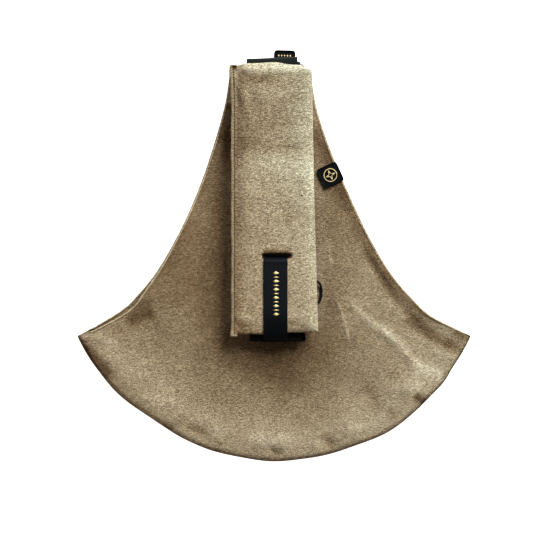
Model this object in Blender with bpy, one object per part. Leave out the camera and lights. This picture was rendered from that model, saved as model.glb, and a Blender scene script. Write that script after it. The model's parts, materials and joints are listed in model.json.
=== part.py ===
"""Soft baby carrier, folded and lying on its back.

A two-layer fabric pouch narrows to a neck. A webbing strap with a padded sleeve is folded down
over the pouch: it runs from the back neck through the sleeve, turns under the sleeve's lower end,
goes back up through a wire ring on the front neck, and ends on a slider.

Frame: metres, +X to the right, +Y towards the neck, +Z away from the floor. The origin is at the
middle of the base. Moving pieces hang on an empty that stands on their hinge or slide.
"""

import math

import bpy
import bmesh
from mathutils import Vector

GAP = 0.0003                    # between neighbouring pieces

# Pouch outline: half widths of the open side edges, from the neck down to the corners.
SIDE_EDGE = (
    (0.178, 0.0410), (0.150, 0.0455), (0.110, 0.0575), (0.064, 0.0750), (0.016, 0.0975),
    (-0.028, 0.1255), (-0.058, 0.1585), (-0.080, 0.1960),
)
SEAM_ARC_RADIUS = 0.2165        # the seat seam is an arc between the corners
SEAM_ARC_CENTRE_Y = 0.0110
ARC_STEPS = 36
SIDE_STEPS = 26

# Thicknesses
BACK_THICK = 0.0020
FRONT_THICK = 0.0018
WEBBING_THICK = 0.0012
SLEEVE_THICK = 0.0013
LABEL_THICK = 0.0010

# Widths and lengths along the strap
WEBBING_WIDTH = 0.050
KEEPER_WIDTH = 0.023
KEEPER_THICK = 0.0009
KEEPER_X = 0.0009
NECK_TOP = 0.178
SLEEVE_TOP = 0.192
SLEEVE_BOTTOM = -0.0785
FOLD_END = -0.0845
SLIT_Y = (-0.0020, 0.0030)
SLIT_X = (-0.0125, 0.0160)
FRONT_INSET = 0.0025            # the front panel's open edges lie inside the back panel's
WEBBING_END_Y = 0.150           # where the anchor and the rear end of the webbing are sewn on

# The stack of layers, from the floor up
INNER_Z = BACK_THICK + GAP                       # what lies inside the pouch
FRONT_Z = 0.0041                                 # underside of the front panel
FRONT_TOP_Z = FRONT_Z + FRONT_THICK
WIRE_RADIUS = 0.0015
WRAP_RADIUS = WIRE_RADIUS + GAP + WEBBING_THICK / 2
ANCHOR_Z = 0.0074                                # middle of the ring anchor and the ring's lower bar
RING_LOWER_Y = 0.181
RING_UPPER_Y = 0.190
RING_UPPER_Z = 0.0138
CUFF_Z = 0.0089
CUFF_THICK = 0.0013
CUFF_BOTTOM = 0.148
TAIL_Z = RING_UPPER_Z - WRAP_RADIUS              # tail of the webbing, ring to slider
RETURN_Z = 0.0129                                # return run under the sleeve
INNER_RUN_Z = 0.0184                             # run inside the sleeve
SLEEVE_LOW_Z = 0.0162
SLEEVE_HIGH_Z = 0.0278
PAD_Z = (0.0193, 0.0250)

# Hinges and the slider
POUCH_HINGE_Y = -0.080
POUCH_HINGE_Z = FRONT_Z + FRONT_THICK / 2
HINGE_SPLIT = 0.0010                             # half the gap between seat and upper front
SLIDER_Y = 0.060
SLIDER_BAR_RADIUS = 0.0014
SLIDER_BAR_Z = TAIL_Z - SLIDER_BAR_RADIUS - GAP - WEBBING_THICK / 2
SLIDER_HALF_LENGTH = 0.012
SLIDER_HALF_WIDTH = 0.0295
SLIDER_WRAP_RADIUS = SLIDER_BAR_RADIUS + GAP + WEBBING_THICK / 2

# Labels: middle, width, length and turn in degrees
CARE_LABEL = ((0.060, -0.160), 0.030, 0.045, 24.0)
CARE_LABEL_THICK = 0.0006
TOP_LABEL = ((0.0105, 0.1917), 0.0195, 0.0268, 1.5)
TOP_LABEL_Z = (0.0006, 0.0020)
SIDE_LABEL = ((0.0556, 0.0805), 0.0212, 0.0205, 25.0)

# Seat seam tape, between two distances in from the seam
TAPE_INSETS = (0.0015, 0.0095)


def clear_scene():
    for obj in list(bpy.data.objects):
        bpy.data.objects.remove(obj, do_unlink=True)


def make_material(name, colour, roughness, metallic=0.0):
    material = bpy.data.materials.new(name)
    material.use_nodes = True
    shader = material.node_tree.nodes["Principled BSDF"]
    shader.inputs["Base Color"].default_value = (*colour, 1.0)
    shader.inputs["Roughness"].default_value = roughness
    shader.inputs["Metallic"].default_value = metallic
    return material


def empty_at(name, location, parent=None):
    empty = bpy.data.objects.new(name, None)
    bpy.context.scene.collection.objects.link(empty)
    empty.parent = parent
    empty["world"] = location
    empty.location = Vector(location) - world_origin(parent)
    return empty


def world_origin(empty):
    return Vector(empty["world"]) if empty else Vector((0.0, 0.0, 0.0))


def place(obj, material, parent):
    """Links an object whose points are in the part's frame, and hangs it on its joint's empty."""
    bpy.context.scene.collection.objects.link(obj)
    obj.data.materials.append(material)
    obj.parent = parent
    obj.location = -world_origin(parent)
    return obj


def object_from_bmesh(name, bm, material, parent=None):
    bmesh.ops.recalc_face_normals(bm, faces=bm.faces)
    mesh = bpy.data.meshes.new(name)
    bm.to_mesh(mesh)
    bm.free()
    return place(bpy.data.objects.new(name, mesh), material, parent)


def prism(name, outline, z_low, z_high, material, parent=None):
    """A flat sheet: an outline in the XY plane, given a thickness."""
    bm = bmesh.new()
    bottom = [bm.verts.new((x, y, z_low)) for x, y in outline]
    face = bm.faces.new(bottom)
    top = bmesh.ops.extrude_face_region(bm, geom=[face])["geom"]
    raised = [v for v in top if isinstance(v, bmesh.types.BMVert)]
    bmesh.ops.translate(bm, vec=(0.0, 0.0, z_high - z_low), verts=raised)
    return object_from_bmesh(name, bm, material, parent)


def arc(centre_y, centre_z, radius, start_deg, end_deg, steps=8):
    """Points (y, z) on an arc. 0 degrees is +Y, 90 is +Z."""
    points = []
    for i in range(steps + 1):
        angle = math.radians(start_deg + (end_deg - start_deg) * i / steps)
        points.append((centre_y + radius * math.cos(angle), centre_z + radius * math.sin(angle)))
    return points


def offset_sides(path, half):
    """The two sides of a band whose middle follows a path of (y, z) points."""
    sides = ([], [])
    for i, point in enumerate(path):
        here = Vector(point)
        before = (here - Vector(path[i - 1])).normalized() if i else None
        after = (Vector(path[i + 1]) - here).normalized() if i < len(path) - 1 else None
        before = before or after
        after = after or before
        tangent = (before + after).normalized()
        normal = Vector((-tangent.y, tangent.x))
        reach = half / max(0.5, tangent.dot(before))
        sides[0].append(here + normal * reach)
        sides[1].append(here - normal * reach)
    return sides


def band(name, path, width, thickness, material, parent=None, middle_x=0.0):
    """Webbing or ribbon: a band of even thickness along a path, extruded along X."""
    left, right = offset_sides(path, thickness / 2)
    outline = left + right[::-1]
    bm = bmesh.new()
    low_x = middle_x - width / 2
    rim = [bm.verts.new((low_x, p.x, p.y)) for p in outline]
    far_rim = [bm.verts.new((low_x + width, p.x, p.y)) for p in outline]
    count = len(path)
    last = 2 * count - 1
    for i in range(last + 1):
        j = (i + 1) % (last + 1)
        bm.faces.new((rim[i], rim[j], far_rim[j], far_rim[i]))
    for i in range(count - 1):
        bm.faces.new((rim[i], rim[last - i], rim[last - i - 1], rim[i + 1]))
        bm.faces.new((far_rim[i], far_rim[i + 1], far_rim[last - i - 1], far_rim[last - i]))
    return object_from_bmesh(name, bm, material, parent)


def box(bm, low, high):
    made = bmesh.ops.create_cube(bm, size=1.0)["verts"]
    size = Vector(high) - Vector(low)
    bmesh.ops.scale(bm, vec=size, verts=made)
    bmesh.ops.translate(bm, vec=(Vector(high) + Vector(low)) / 2, verts=made)


def helper(name, bm, parent):
    """A hidden shape that only serves a boolean."""
    mesh = bpy.data.meshes.new(name)
    bm.to_mesh(mesh)
    bm.free()
    obj = bpy.data.objects.new(name, mesh)
    bpy.context.scene.collection.objects.link(obj)
    obj.parent = parent
    obj.location = -world_origin(parent)
    obj.hide_render = True
    obj.display_type = "WIRE"
    return obj


def spline_value(table, y):
    """Half width at a height, on a smooth curve through the table's points."""
    count = len(table)
    for i in range(count - 1):
        y0, w0 = table[i]
        y1, w1 = table[i + 1]
        if y1 <= y <= y0 or i == count - 2:
            break
    span = y1 - y0
    slope_in = slope_at(table, i)
    slope_out = slope_at(table, i + 1)
    t = (y - y0) / span
    blend = (2 * t**3 - 3 * t**2 + 1) * w0 + (3 * t**2 - 2 * t**3) * w1
    return blend + span * ((t**3 - 2 * t**2 + t) * slope_in + (t**3 - t**2) * slope_out)


def slope_at(table, i):
    low = max(0, i - 1)
    high = min(len(table) - 1, i + 1)
    return (table[high][1] - table[low][1]) / (table[high][0] - table[low][0])


def side_points(inset, y_high, y_low):
    """Right-hand open edge from high to low, moved in by the inset."""
    points = []
    for i in range(SIDE_STEPS + 1):
        y = y_high + (y_low - y_high) * i / SIDE_STEPS
        points.append((spline_value(SIDE_EDGE, y) - inset, y))
    return points


def seam_points(inset, y_high=POUCH_HINGE_Y):
    """Seat seam from right to left, below a height."""
    radius = SEAM_ARC_RADIUS - inset
    start = math.asin((y_high - SEAM_ARC_CENTRE_Y) / radius)
    end = -math.pi - start
    points = []
    for i in range(ARC_STEPS + 1):
        angle = start + (end - start) * i / ARC_STEPS
        points.append((radius * math.cos(angle), SEAM_ARC_CENTRE_Y + radius * math.sin(angle)))
    return points


def mirrored(points):
    return [(-x, y) for x, y in reversed(points)]


def turned_rectangle(centre, width, length, turn_deg):
    """Corners of a label, turned about its middle."""
    turn = math.radians(turn_deg)
    corners = []
    for sx, sy in ((-1, -1), (1, -1), (1, 1), (-1, 1)):
        x, y = sx * width / 2, sy * length / 2
        corners.append((centre[0] + x * math.cos(turn) - y * math.sin(turn),
                        centre[1] + x * math.sin(turn) + y * math.cos(turn)))
    return corners


def pouch(materials, flap):
    """Back panel, front panel in two pieces, and what is sewn to them."""
    fabric = materials["panel_fabric"]
    side = side_points(0.0, NECK_TOP, POUCH_HINGE_Y)
    prism("back_panel", side + seam_points(0.0)[1:-1] + mirrored(side), 0.0, BACK_THICK, fabric)

    upper = side_points(FRONT_INSET, NECK_TOP - 0.006, POUCH_HINGE_Y + HINGE_SPLIT)
    prism("front_panel_upper", upper + mirrored(upper), FRONT_Z, FRONT_TOP_Z, fabric, flap)
    seat = seam_points(0.001, POUCH_HINGE_Y - HINGE_SPLIT)
    prism("front_panel_seat", seat, FRONT_Z, FRONT_TOP_Z, fabric)

    outer, inner = (seam_points(inset, POUCH_HINGE_Y - 0.004) for inset in TAPE_INSETS)
    prism("seat_seam_tape", outer + inner[::-1], INNER_Z, FRONT_Z - GAP, materials["webbing"])
    care = turned_rectangle(*CARE_LABEL)
    prism("care_label", care, INNER_Z, INNER_Z + CARE_LABEL_THICK, materials["care_label"])


def back_neck(materials):
    """The webbing end sewn to the back neck, and the folded top label."""
    z = INNER_Z + WEBBING_THICK / 2
    path = [(WEBBING_END_Y, z), (0.170, z), (0.1985, z)]
    band("rear_webbing_end", path, WEBBING_WIDTH, WEBBING_THICK, materials["webbing"])
    prism("top_label", turned_rectangle(*TOP_LABEL), *TOP_LABEL_Z, materials["label"])


def front_neck(materials, flap):
    """Anchor webbing with the ring, held under the neck cuff, and the side label."""
    low, high = ANCHOR_Z - WEBBING_THICK, ANCHOR_Z + WEBBING_THICK
    stitched_to = RING_LOWER_Y - 0.008
    loop = arc(RING_LOWER_Y, ANCHOR_Z, WIRE_RADIUS + GAP + WEBBING_THICK, 150, -150, 20)
    hole = arc(RING_LOWER_Y, ANCHOR_Z, WIRE_RADIUS + GAP, 180, -180, 20)[:-1]
    plies = [(WEBBING_END_Y, low), (WEBBING_END_Y, high), (stitched_to, high)]
    bm = bmesh.new()
    anchor_block(bm, plies + loop + [(stitched_to, low)], hole)
    object_from_bmesh("ring_anchor_webbing", bm, materials["webbing"], flap)

    cuff = []
    for y in (0.174, 0.166, 0.157, CUFF_BOTTOM):
        cuff.append((spline_value(SIDE_EDGE, y) - 0.003, y))
    prism("front_neck_cuff", cuff + mirrored(cuff), CUFF_Z, CUFF_Z + CUFF_THICK,
          materials["panel_fabric"], flap)

    label = turned_rectangle(*SIDE_LABEL)
    prism("side_label", label, FRONT_TOP_Z + GAP, FRONT_TOP_Z + GAP + LABEL_THICK,
          materials["label"], flap)

    ring_wire(materials["ring_steel"], flap)


def anchor_block(bm, outline, hole):
    """Extrudes an outline with one hole in it along X."""
    half = WEBBING_WIDTH / 2
    rings = []
    for x in (-half, half):
        outer = [bm.verts.new((x, y, z)) for y, z in outline]
        inner = [bm.verts.new((x, y, z)) for y, z in hole]
        edges = []
        for loop in (outer, inner):
            edges += [bm.edges.new((loop[i], loop[(i + 1) % len(loop)])) for i in range(len(loop))]
        bmesh.ops.triangle_fill(bm, edges=edges, use_beauty=True)
        rings.append((outer, inner))
    for near, far in zip(rings[0], rings[1]):
        for i in range(len(near)):
            j = (i + 1) % len(near)
            bm.faces.new((near[i], near[j], far[j], far[i]))


def ring_wire(material, flap):
    """A rectangular wire ring, leaning up from its lower bar to its upper bar."""
    half_x = 0.0285
    corner = 0.0030
    lower = Vector((0.0, RING_LOWER_Y, ANCHOR_Z))
    lean = Vector((0.0, RING_UPPER_Y, RING_UPPER_Z)) - lower
    length = lean.length
    lean.normalize()
    points = []
    corners = ((half_x, length, 0), (-half_x, length, 90), (-half_x, 0.0, 180), (half_x, 0.0, 270))
    for x, along, start in corners:
        centre_x = x - math.copysign(corner, x)
        centre_along = corner if along == 0.0 else along - corner
        for i in range(6):
            angle = math.radians(start + 90 * i / 5)
            reach = centre_along + corner * math.sin(angle)
            points.append(Vector((centre_x + corner * math.cos(angle), 0.0, 0.0)) + lower + lean * reach)
    tube("neck_ring", points, WIRE_RADIUS, material, flap, closed=True, resolution=3)


def tube(name, points, radius, material, parent=None, closed=False, resolution=2):
    curve = bpy.data.curves.new(name, "CURVE")
    curve.dimensions = "3D"
    curve.bevel_depth = radius
    curve.bevel_resolution = resolution
    curve.use_fill_caps = True
    spline = curve.splines.new("POLY")
    spline.points.add(len(points) - 1)
    for target, point in zip(spline.points, points):
        target.co = (*point, 1.0)
    spline.use_cyclic_u = closed
    return place(bpy.data.objects.new(name, curve), material, parent)


def sleeve_section(y, inset):
    """One cross-section of the sleeve, as (x, y, z) points: a flat tube with round edges."""
    share = (SLEEVE_TOP - y) / (SLEEVE_TOP - SLEEVE_BOTTOM)
    left = -0.0435 + inset
    right = 0.0375 + 0.0065 * share - inset
    rise = math.exp(-((SLEEVE_TOP - y) / 0.010) ** 2)
    low = SLEEVE_LOW_Z + 0.0009 * rise + inset
    high = SLEEVE_HIGH_Z - 0.0061 * rise - inset
    radius = (high - low) / 2
    points = []
    for centre_x, start in ((right - radius, -90), (left + radius, 90)):
        for i in range(9):
            angle = math.radians(start + 180 * i / 8)
            points.append((centre_x + radius * math.cos(angle), y,
                           (low + high) / 2 + radius * math.sin(angle)))
    return points


def sleeve_heights():
    near_top = [SLEEVE_TOP - 0.003 * i for i in range(8)]
    rest = [SLEEVE_TOP - 0.030 - (SLEEVE_TOP - 0.030 - SLEEVE_BOTTOM) * i / 6 for i in range(7)]
    return near_top + rest


def loft(bm, sections):
    """Side faces of an open tube through closed sections; returns the rows of points."""
    rows = [[bm.verts.new(p) for p in section] for section in sections]
    count = len(rows[0])
    for above, below in zip(rows, rows[1:]):
        for i in range(count):
            j = (i + 1) % count
            bm.faces.new((above[i], above[j], below[j], below[i]))
    return rows


def sleeve(materials, strap):
    """The fabric sleeve, open at both ends with a slit for the keeper, and its foam pad."""
    bm = bmesh.new()
    heights = sleeve_heights()
    outside = loft(bm, [sleeve_section(y, 0.0) for y in heights])
    inside = loft(bm, [sleeve_section(y, SLEEVE_THICK) for y in heights])
    for outer, inner in ((outside[0], inside[0]), (outside[-1], inside[-1])):
        for i in range(len(outer)):
            j = (i + 1) % len(outer)
            bm.faces.new((outer[i], outer[j], inner[j], inner[i]))
    cover = object_from_bmesh("sleeve_cover", bm, materials["sleeve_fabric"], strap)
    slit = slit_cutter(strap)
    cut = cover.modifiers.new("keeper_slit", "BOOLEAN")
    cut.operation = "DIFFERENCE"
    cut.object = slit

    left, right = -0.0365, 0.0320
    foot = SLEEVE_BOTTOM + 0.007
    head = SLEEVE_TOP - 0.020
    pad = [(left, foot), (right + 0.005, foot), (right, head), (left, head)]
    obj = prism("foam_pad", pad, PAD_Z[0], PAD_Z[1], materials["foam"], strap)
    obj.modifiers.new("soft_edge", "BEVEL").width = 0.002
    obj.modifiers["soft_edge"].segments = 2


def slit_cutter(strap):
    bm = bmesh.new()
    low_z = SLEEVE_HIGH_Z - SLEEVE_THICK - 0.0013
    box(bm, (SLIT_X[0], SLIT_Y[0], low_z), (SLIT_X[1], SLIT_Y[1], low_z + 0.004))
    return helper("slit_cutter", bm, strap)


def strap_webbing(materials, strap):
    """Run inside the sleeve, fold below it, return run to the ring and once round its bar."""
    fold_radius = (INNER_RUN_Z - RETURN_Z) / 2
    fold_z = (INNER_RUN_Z + RETURN_Z) / 2
    path = [(0.1935, INNER_RUN_Z + 0.0009), (0.186, INNER_RUN_Z + 0.0008), (0.176, INNER_RUN_Z),
            (0.050, INNER_RUN_Z)]
    path += arc(FOLD_END + fold_radius, fold_z, fold_radius, 90, 270, 10)
    path += [(0.050, RETURN_Z), (0.162, RETURN_Z), (0.1690, RETURN_Z + 0.0004)]
    path += arc(RING_UPPER_Y, RING_UPPER_Z, WRAP_RADIUS, 112, -90, 12)
    band("strap_webbing", path, WEBBING_WIDTH, WEBBING_THICK, materials["webbing"], strap)

    tail = [(RING_UPPER_Y - GAP, TAIL_Z), (SLIDER_Y + 0.040, TAIL_Z)]
    tail += arc(SLIDER_Y, SLIDER_BAR_Z, SLIDER_WRAP_RADIUS, 90, 270, 8)
    tail += [(SLIDER_Y + 0.014, SLIDER_BAR_Z - SLIDER_WRAP_RADIUS)]
    band("tail_webbing", tail, WEBBING_WIDTH, WEBBING_THICK, materials["webbing"], strap)


def keeper_band(materials, strap):
    """Black ribbon out of the sleeve's slit, down its face and round the webbing fold."""
    inside_z = 0.02575
    outside_z = SLEEVE_HIGH_Z + GAP + KEEPER_THICK / 2
    below_z = RETURN_Z - WEBBING_THICK / 2 - GAP - KEEPER_THICK / 2
    end_y = FOLD_END - WEBBING_THICK / 2 - 2 * GAP - KEEPER_THICK / 2
    turn = 0.0035
    path = [(0.020, inside_z), (0.0025, inside_z), (-0.0015, outside_z), (-0.040, outside_z)]
    path += arc(end_y + turn, outside_z - turn, turn, 90, 180, 5)
    path += arc(end_y + turn, below_z + turn, turn, 180, 270, 5)
    path += [(-0.052, below_z)]
    band("keeper_band", path, KEEPER_WIDTH, KEEPER_THICK, materials["ribbon"], strap, KEEPER_X)


def slider(materials, carriage):
    """Three-bar slider: two outer bars over the return run, a round bar under it for the tail."""
    low_z = SLIDER_BAR_Z - 0.0019
    over_z = RETURN_Z + WEBBING_THICK / 2 + GAP
    high_z = SLEEVE_LOW_Z - GAP
    rail = 0.0035
    bm = bmesh.new()
    box(bm, (-SLIDER_HALF_WIDTH, SLIDER_Y - SLIDER_HALF_LENGTH, low_z),
        (-SLIDER_HALF_WIDTH + rail, SLIDER_Y + SLIDER_HALF_LENGTH, high_z))
    body = object_from_bmesh("strap_slider", bm, materials["slider_plastic"], carriage)

    pieces = []
    bm = bmesh.new()
    box(bm, (SLIDER_HALF_WIDTH - rail, SLIDER_Y - SLIDER_HALF_LENGTH, low_z),
        (SLIDER_HALF_WIDTH, SLIDER_Y + SLIDER_HALF_LENGTH, high_z))
    pieces.append(helper("slider_right_rail", bm, carriage))
    for name, side in (("slider_lower_bar", -1), ("slider_upper_bar", 1)):
        middle = SLIDER_Y + side * (SLIDER_HALF_LENGTH - 0.003)
        bm = bmesh.new()
        box(bm, (-SLIDER_HALF_WIDTH + 0.001, middle - 0.0025, over_z),
            (SLIDER_HALF_WIDTH - 0.001, middle + 0.0025, high_z - 0.0002))
        pieces.append(helper(name, bm, carriage))
    bm = bmesh.new()
    bmesh.ops.create_cone(bm, cap_ends=True, segments=16, radius1=SLIDER_BAR_RADIUS,
                          radius2=SLIDER_BAR_RADIUS, depth=2 * SLIDER_HALF_WIDTH - 0.002)
    turn = Vector((0.0, 0.0, 1.0)).rotation_difference(Vector((1.0, 0.0, 0.0))).to_matrix()
    bmesh.ops.rotate(bm, cent=(0.0, 0.0, 0.0), matrix=turn, verts=bm.verts)
    bmesh.ops.translate(bm, vec=(0.0, SLIDER_Y, SLIDER_BAR_Z), verts=bm.verts)
    pieces.append(helper("slider_middle_bar", bm, carriage))
    for piece in pieces:
        join = body.modifiers.new(piece.name, "BOOLEAN")
        join.operation = "UNION"
        join.object = piece


def elastic_loop(materials, strap):
    """A thin elastic loop sewn under the sleeve's right edge, lying out on the pouch."""
    radius = 0.0011
    rest_z = FRONT_TOP_Z + GAP + radius
    turns = (
        (0.0340, -0.0215, SLEEVE_LOW_Z - GAP - radius), (0.0400, -0.0225, 0.0128),
        (0.0448, -0.0270, 0.0088), (0.0464, -0.0360, rest_z), (0.0448, -0.0455, 0.0088),
        (0.0400, -0.0500, 0.0128), (0.0340, -0.0510, SLEEVE_LOW_Z - GAP - radius),
    )
    tube("elastic_loop", smooth_route(turns, 6), radius, materials["elastic"], strap)


def smooth_route(points, steps):
    """Points along a smooth curve through a few chosen ones."""
    route = [Vector(p) for p in points]
    padded = [2 * route[0] - route[1]] + route + [2 * route[-1] - route[-2]]
    smooth = []
    for i in range(1, len(padded) - 2):
        before, start, end, after = padded[i - 1:i + 3]
        for step in range(steps):
            t = step / steps
            smooth.append(0.5 * (2 * start + (end - before) * t
                                 + (2 * before - 5 * start + 4 * end - after) * t**2
                                 + (3 * start - before - 3 * end + after) * t**3))
    smooth.append(route[-1])
    return smooth


def build():
    clear_scene()
    materials = {
        "panel_fabric": make_material("panel_fabric", (0.300, 0.230, 0.150), 0.95),
        "sleeve_fabric": make_material("sleeve_fabric", (0.400, 0.330, 0.220), 0.95),
        "webbing": make_material("webbing", (0.020, 0.022, 0.020), 0.80),
        "ribbon": make_material("ribbon", (0.010, 0.011, 0.012), 0.60),
        "label": make_material("label", (0.012, 0.014, 0.020), 0.60),
        "care_label": make_material("care_label", (0.700, 0.700, 0.680), 0.70),
        "foam": make_material("foam", (0.450, 0.450, 0.430), 1.00),
        "elastic": make_material("elastic", (0.010, 0.010, 0.010), 0.75),
        "ring_steel": make_material("ring_steel", (0.550, 0.550, 0.540), 0.30, 1.0),
        "slider_plastic": make_material("slider_plastic", (0.020, 0.020, 0.020), 0.45),
    }
    flap = empty_at("pouch_open", (0.0, POUCH_HINGE_Y, POUCH_HINGE_Z))
    strap = empty_at("strap_fold", (0.0, RING_UPPER_Y, RING_UPPER_Z), flap)
    carriage = empty_at("slider_travel", (0.0, SLIDER_Y, RETURN_Z), strap)
    pouch(materials, flap)
    back_neck(materials)
    front_neck(materials, flap)
    sleeve(materials, strap)
    strap_webbing(materials, strap)
    keeper_band(materials, strap)
    slider(materials, carriage)
    elastic_loop(materials, strap)


build()
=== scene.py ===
"""Looks of the soft baby carrier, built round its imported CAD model."""

import json
import math

import bpy
import numpy as np
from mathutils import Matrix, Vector
from mathutils.bvhtree import BVHTree


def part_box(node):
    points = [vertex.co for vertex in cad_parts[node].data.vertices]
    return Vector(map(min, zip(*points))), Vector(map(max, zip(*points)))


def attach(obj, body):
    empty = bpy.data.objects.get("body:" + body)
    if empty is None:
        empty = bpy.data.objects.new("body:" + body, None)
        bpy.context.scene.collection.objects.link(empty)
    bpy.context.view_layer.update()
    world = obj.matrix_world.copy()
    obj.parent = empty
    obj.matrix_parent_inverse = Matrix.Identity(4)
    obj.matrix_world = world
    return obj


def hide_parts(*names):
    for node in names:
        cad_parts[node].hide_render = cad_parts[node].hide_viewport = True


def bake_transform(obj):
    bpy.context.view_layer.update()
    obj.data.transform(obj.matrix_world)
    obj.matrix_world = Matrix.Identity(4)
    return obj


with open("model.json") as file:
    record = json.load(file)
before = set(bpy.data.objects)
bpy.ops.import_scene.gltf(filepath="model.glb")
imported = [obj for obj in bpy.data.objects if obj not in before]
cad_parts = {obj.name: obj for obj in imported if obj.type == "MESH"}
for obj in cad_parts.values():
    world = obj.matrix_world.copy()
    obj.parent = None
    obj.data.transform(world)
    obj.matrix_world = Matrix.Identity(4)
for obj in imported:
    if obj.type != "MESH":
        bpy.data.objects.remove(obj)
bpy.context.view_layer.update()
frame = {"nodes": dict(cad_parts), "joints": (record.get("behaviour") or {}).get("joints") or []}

MM = 0.001

# ---- places taken from the frame

BACK_LOW, BACK_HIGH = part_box("back_panel")
FRONT_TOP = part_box("front_panel_upper")[1].z
SLEEVE_LOW, SLEEVE_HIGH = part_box("sleeve_cover")

joints = {joint["name"]: joint for joint in frame["joints"]}
POUCH_HINGE = Vector(joints["pouch_open"]["pos_m"])
RING_BAR = Vector(joints["strap_fold"]["pos_m"])

TIP_X = BACK_HIGH.x
TIP_Y = POUCH_HINGE.y
ARC_BOTTOM = BACK_LOW.y
ARC_RADIUS = (TIP_X**2 + (TIP_Y - ARC_BOTTOM)**2) / (2 * (TIP_Y - ARC_BOTTOM))
ARC_CENTRE_Y = ARC_BOTTOM + ARC_RADIUS
TIP_ANGLE = math.atan2(TIP_X, ARC_CENTRE_Y - TIP_Y)

WEBBING = 1.2 * MM              # thicknesses
RIBBON = 0.8 * MM
CLOTH = 1.6 * MM
WEBBING_WIDTH = 50.6 * MM
RING_TURN = 2.4 * MM            # the webbing's middle from the middle of the ring's wire
HEM_STEP = 3.0 * MM             # distance between the points of a hem
TAPE_STEP = 1.0 * MM            # and of a run of webbing


# ---- camera, light and floor

def add_object(name, data):
    obj = bpy.data.objects.new(name, data)
    bpy.context.scene.collection.objects.link(obj)
    return obj


def make_camera():
    height = 1.9
    frame_width = 0.533
    camera = add_object("camera", bpy.data.cameras.new("camera"))
    camera.location = (-8.0 * MM, -10.5 * MM, height)
    camera.data.sensor_width = 36.0
    camera.data.lens = camera.data.sensor_width * height / frame_width
    camera.data.clip_end = 20.0
    bpy.context.scene.camera = camera


def area_light(name, place, size, power, colour):
    light = bpy.data.lights.new(name, "AREA")
    light.shape = "DISK"
    light.size = size
    light.energy = power
    light.color = colour
    obj = add_object(name, light)
    obj.location = place
    obj.rotation_euler = (-Vector(place)).to_track_quat("-Z", "Y").to_euler()


def make_stage():
    """Strong light from the upper right, a weak warm one from the left, and a bright paper floor."""
    area_light("key_light", (0.90, 1.25, 1.08), 1.25, 68.0, (0.99, 1.0, 0.98))
    area_light("fill_light", (-1.3, -0.5, 1.6), 1.6, 7.0, (1.0, 0.80, 0.60))
    world = bpy.data.worlds.new("soft_room")
    world.use_nodes = True
    room = world.node_tree.nodes["Background"].inputs
    room["Color"].default_value = (1.0, 0.95, 0.88, 1.0)
    room["Strength"].default_value = 0.19
    bpy.context.scene.world = world
    bpy.context.scene.view_settings.view_transform = "Standard"
    bpy.context.scene.view_settings.look = "Medium High Contrast"

    reach = 3
    corners = [(-reach, -reach, 0), (reach, -reach, 0), (reach, reach, 0), (-reach, reach, 0)]
    floor = add_mesh("floor", corners, [(0, 1, 2, 3)])
    floor.location.z = -0.3 * MM
    material, _, shader = new_material("floor_paper", 0.95, specular=0.5)
    shader.inputs["Base Color"].default_value = (0.93, 0.93, 0.925, 1.0)
    shader.inputs["Emission Color"].default_value = (1.0, 1.0, 1.0, 1.0)
    shader.inputs["Emission Strength"].default_value = 0.78
    floor.data.materials.append(material)


# ---- mesh helpers

def add_mesh(name, points, faces, uv=None):
    mesh = bpy.data.meshes.new(name)
    mesh.from_pydata([tuple(p) for p in points], [], faces)
    if uv is not None:
        corners = np.empty(len(mesh.loops), np.int32)
        mesh.loops.foreach_get("vertex_index", corners)
        layer = mesh.uv_layers.new(name="cloth")
        layer.data.foreach_set("uv", np.asarray(uv, np.float32)[corners].ravel())
    mesh.shade_smooth()
    mesh.update()
    return add_object(name, mesh)


def set_tone(obj, tone):
    """One tone for the whole mesh, or one for each of its first points; the others get 0."""
    values = np.zeros(len(obj.data.vertices), np.float32)
    if np.ndim(tone):
        values[:np.size(tone)] = np.ravel(tone)
    else:
        values[:] = tone
    obj.data.attributes.new("tone", "FLOAT", "POINT").data.foreach_set("value", values)


def grid_faces(rows, columns, start=0, flip=False):
    corner = np.arange(rows * columns).reshape(rows, columns) + start
    quads = np.stack([corner[:-1, :-1], corner[:-1, 1:], corner[1:, 1:], corner[1:, :-1]], -1)
    quads = quads.reshape(-1, 4)
    return (quads[:, ::-1] if flip else quads).tolist()


def finish(obj, body, material, replaces=()):
    obj.data.materials.append(material)
    if body:
        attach(obj, body)
    if replaces:
        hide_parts(*replaces)


def ease(low, high, value):
    """Smooth step from 0 at low to 1 at high."""
    t = np.clip((value - low) / (high - low), 0.0, 1.0)
    return t * t * (3 - 2 * t)


def bell(value, middle, spread, power=2):
    """Bell curve over a place in metres; its middle and spread are in millimetres."""
    return np.exp(-(np.abs(value / MM - middle) / spread)**power)


def patch(x, y, place, size):
    """Bell-shaped patch of a surface; its place and size are in millimetres."""
    return bell(x, place[0], size[0]) * bell(y, place[1], size[1])


def quarter_round(t):
    """Height along a quarter circle: 0 at t = 0, and level at 1 from t = 1 on."""
    return np.sqrt(1 - (1 - np.clip(t, 0.0, 1.0))**2)


def quarter_sine(t):
    return np.sin(np.clip(t, 0.0, 1.0) * math.pi / 2)


def unit_rows(vectors):
    return vectors / np.maximum(np.linalg.norm(vectors, axis=1), 1e-9)[:, None]


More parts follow.
